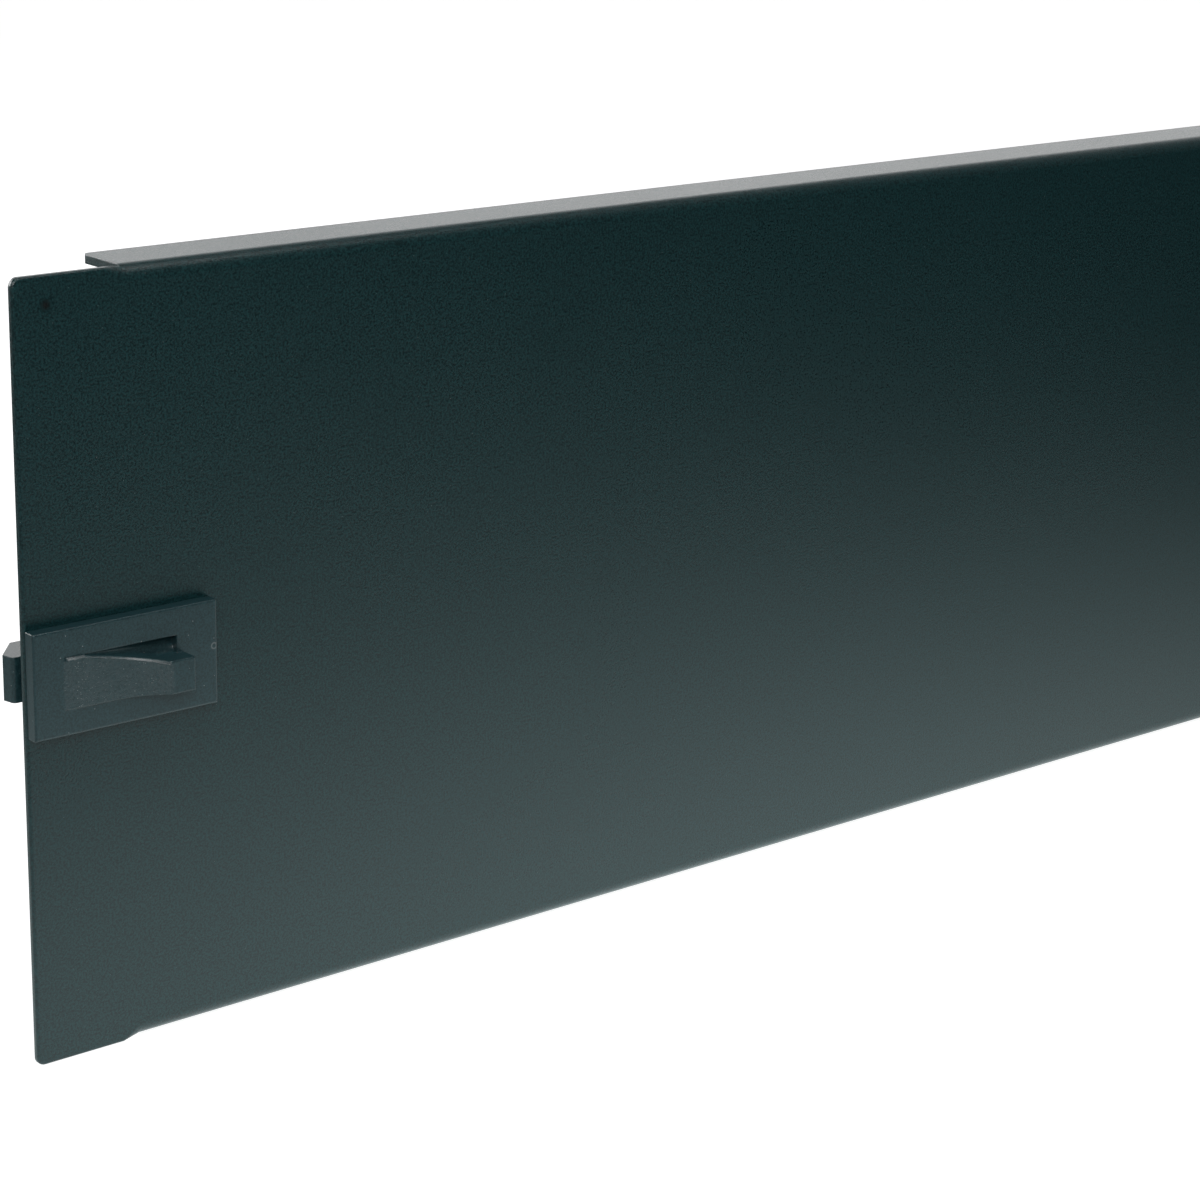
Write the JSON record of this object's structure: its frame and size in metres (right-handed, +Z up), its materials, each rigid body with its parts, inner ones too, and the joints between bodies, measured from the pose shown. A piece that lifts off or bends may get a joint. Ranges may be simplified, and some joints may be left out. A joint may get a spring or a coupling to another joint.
{
  "type": "rack blanking panel",
  "caption": "Folded steel panel that blanks an unused space in an equipment rack, with flat ears, top and bottom flanges, and sprung finger latches that hook behind the rails.",
  "frame": {"origin": "on the plane of the rack's rails, which is the sheet's rear face, at mid-width and mid-height", "axes": "+X along the panel, +Y into the rack, +Z up; the front faces -Y"},
  "size_m": [0.4834, 0.0189, 0.1324],
  "materials": {
    "coated_sheet": "satin black powder coat",
    "latch_plastic": "satin moulded plastic",
    "spring_steel": "bright spring wire"
  },
  "bodies": {
    "panel": {"panel": "coated_sheet", "left_spring": "spring_steel", "right_spring": "spring_steel"},
    "left_latch": {"left_slider": "latch_plastic", "left_keeper": "latch_plastic"},
    "right_latch": {"right_slider": "latch_plastic", "right_keeper": "latch_plastic"}
  },
  "joints": [
    {"name": "left_latch_slide", "type": "slide", "parent": "panel", "child": "left_latch", "axis": [1, 0, 0], "range_m": [0, 0.0055], "stiffness_N_per_m": 1080, "springref_m": -0.004, "deforming": ["left_spring"]},
    {"name": "right_latch_slide", "type": "slide", "parent": "panel", "child": "right_latch", "axis": [-1, 0, 0], "range_m": [0, 0.0055], "stiffness_N_per_m": 1080, "springref_m": -0.004, "deforming": ["right_spring"]}
  ]
}
